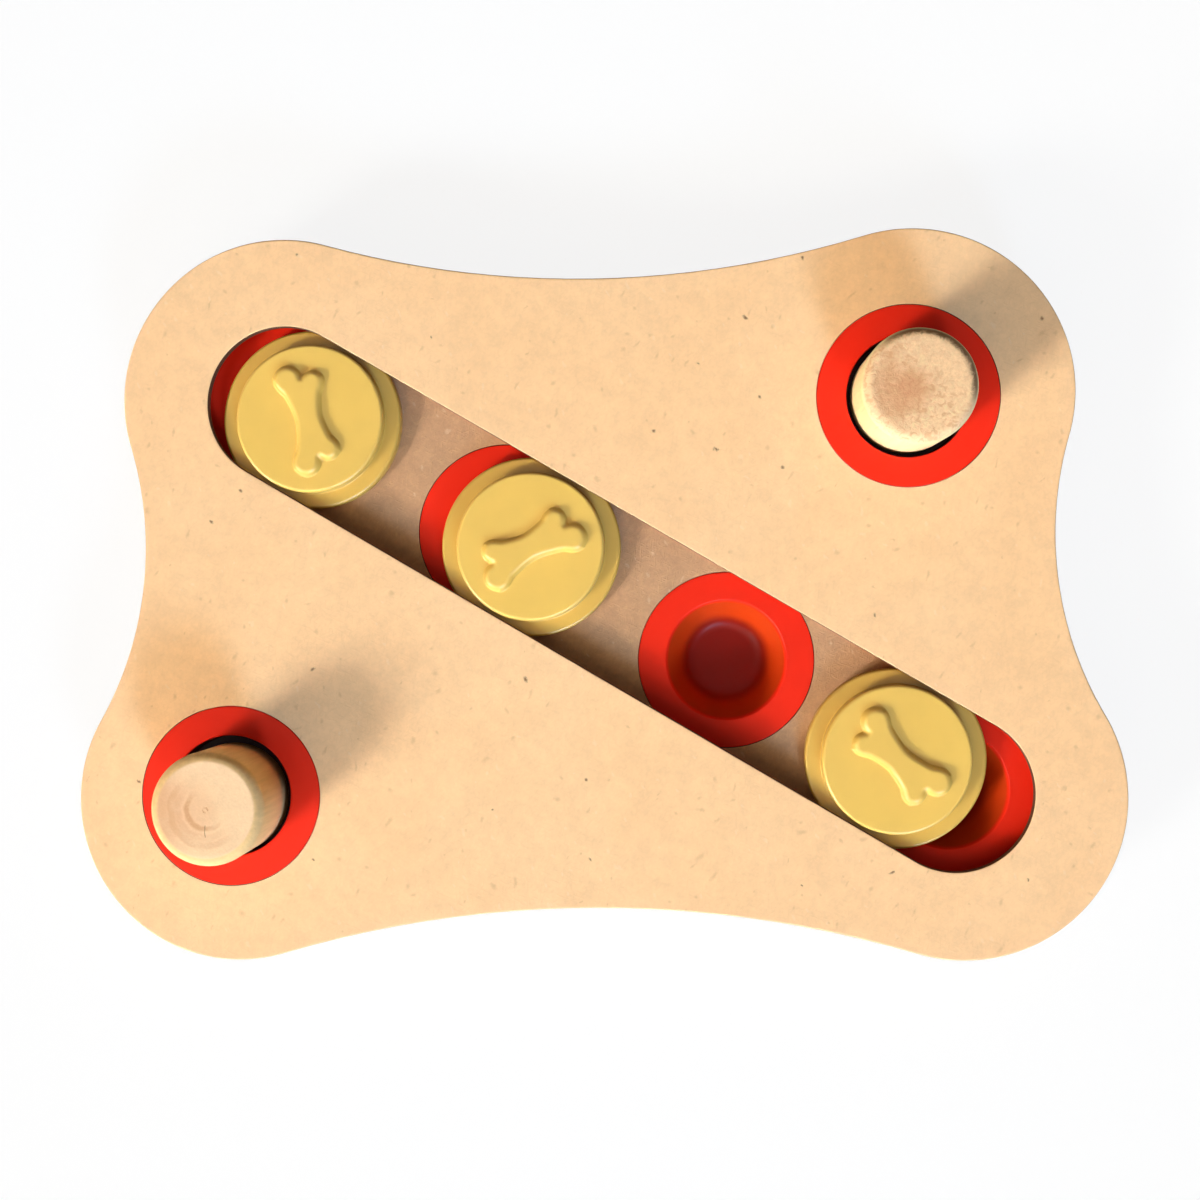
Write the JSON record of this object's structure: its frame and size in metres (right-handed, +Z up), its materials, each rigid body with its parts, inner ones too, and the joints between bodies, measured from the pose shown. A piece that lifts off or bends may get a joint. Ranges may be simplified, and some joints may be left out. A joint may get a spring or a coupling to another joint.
{
  "type": "dog puzzle feeder toy",
  "caption": "Four-lobed wooden puzzle board for dogs: captive discs slide along a slanting track over sunken treat cups, and loose pegs lift out of corner cups.",
  "frame": {"origin": "centre of the board's outline, on the surface the feet stand on", "axes": "+X along the board's long side, towards the end where the track runs lowest; +Y towards the narrower pair of lobes; +Z up"},
  "size_m": [0.31, 0.2146, 0.0515],
  "materials": {
    "mdf": "sealed MDF, satin, fine dark specks",
    "red_cup": "satin moulded plastic, red",
    "yellow_slider": "satin moulded plastic, mustard yellow",
    "peg_wood": "bare turned hardwood, sanded",
    "rubber_foot": "matt black rubber",
    "screw": "zinc plated"
  },
  "bodies": {
    "board": {"top_board": "mdf", "channel_board": "mdf", "cup_board": "mdf", "base_panel": "mdf", "track_cup_1": "red_cup", "track_cup_2": "red_cup", "track_cup_3": "red_cup", "track_cup_4": "red_cup", "upper_peg_cup": "red_cup", "lower_peg_cup": "red_cup", "foot_upper_left": "rubber_foot", "foot_upper_right": "rubber_foot", "foot_lower_left": "rubber_foot", "foot_lower_right": "rubber_foot", "foot_screws": "screw"},
    "slider_1": {"slider_1": "yellow_slider"},
    "slider_2": {"slider_2": "yellow_slider"},
    "slider_3": {"slider_3": "yellow_slider"},
    "upper_peg": {"upper_peg": "peg_wood"},
    "lower_peg": {"lower_peg": "peg_wood"}
  },
  "joints": [
    {"name": "slider_1_slide", "type": "slide", "parent": "board", "child": "slider_1", "axis": [0.8608, -0.509, 0], "range_m": [-0.0086, 0.0223]},
    {"name": "slider_2_slide", "type": "slide", "parent": "board", "child": "slider_2", "axis": [0.8608, -0.509, 0], "range_m": [-0.0223, 0.071]},
    {"name": "slider_3_slide", "type": "slide", "parent": "board", "child": "slider_3", "axis": [0.8608, -0.509, 0], "range_m": [-0.071, 0.0194]},
    {"name": "upper_peg_lift", "type": "slide", "parent": "board", "child": "upper_peg", "axis": [0, 0, 1], "range_m": [0, 0.06]},
    {"name": "lower_peg_lift", "type": "slide", "parent": "board", "child": "lower_peg", "axis": [0, 0, 1], "range_m": [0, 0.06]}
  ]
}
